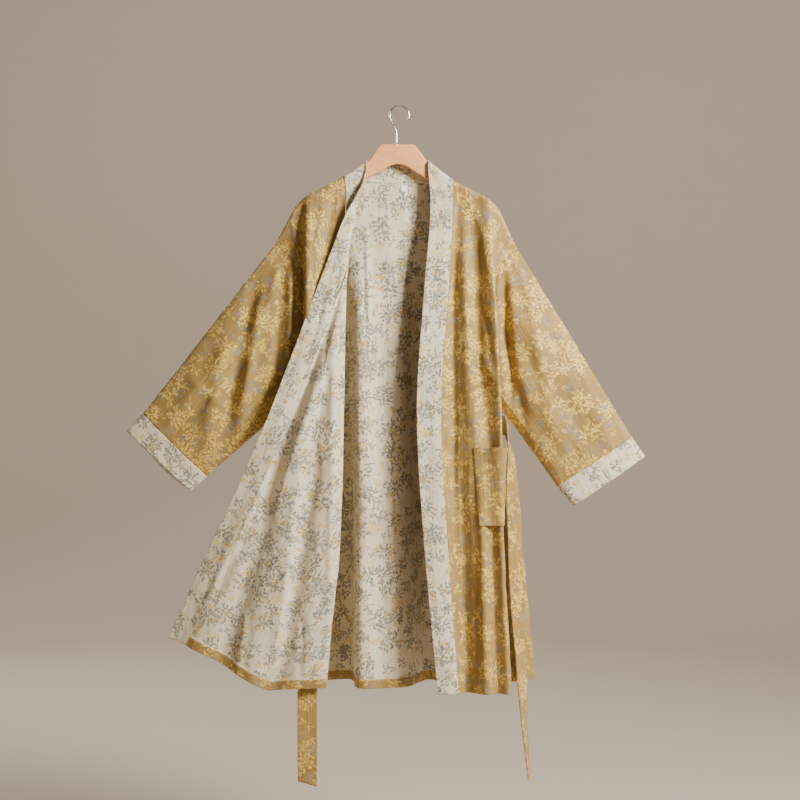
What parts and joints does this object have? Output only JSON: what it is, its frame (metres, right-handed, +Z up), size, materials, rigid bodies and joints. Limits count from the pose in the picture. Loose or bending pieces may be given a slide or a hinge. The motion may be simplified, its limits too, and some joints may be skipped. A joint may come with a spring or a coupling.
{
  "type": "kimono bathrobe on a wooden clothes hanger",
  "caption": "Knee-length kimono bathrobe hanging on a flat wooden hanger, a front turned open, with contrast collar band and cuffs, patch pocket and loose belt.",
  "frame": {"origin": "inner top of the hanger hook's bend, where a rail or peg carries the hanger", "axes": "+Z up, +X to the right of someone who looks at the robe's front, the front faces -Y"},
  "size_m": [1.034, 0.1963, 1.3655],
  "materials": {
    "gold_cloth": "soft woven jacquard with a slight sheen",
    "pale_cloth": "soft woven jacquard",
    "wood": "smooth satin",
    "steel": "bright wire",
    "label": "plain woven tape"
  },
  "bodies": {
    "root": {"back": "gold_cloth", "front_turned": "gold_cloth", "front_hanging": "gold_cloth", "band_turned": "pale_cloth", "band_hanging": "pale_cloth", "band_neck": "pale_cloth", "sleeve_left": "gold_cloth", "sleeve_right": "gold_cloth", "cuff_left": "pale_cloth", "cuff_right": "pale_cloth", "pocket": "gold_cloth", "belt": "gold_cloth", "belt_loop_left": "gold_cloth", "belt_loop_right": "gold_cloth", "size_label": "label", "hanger_board": "wood", "hanger_hook": "steel"}
  },
  "joints": []
}
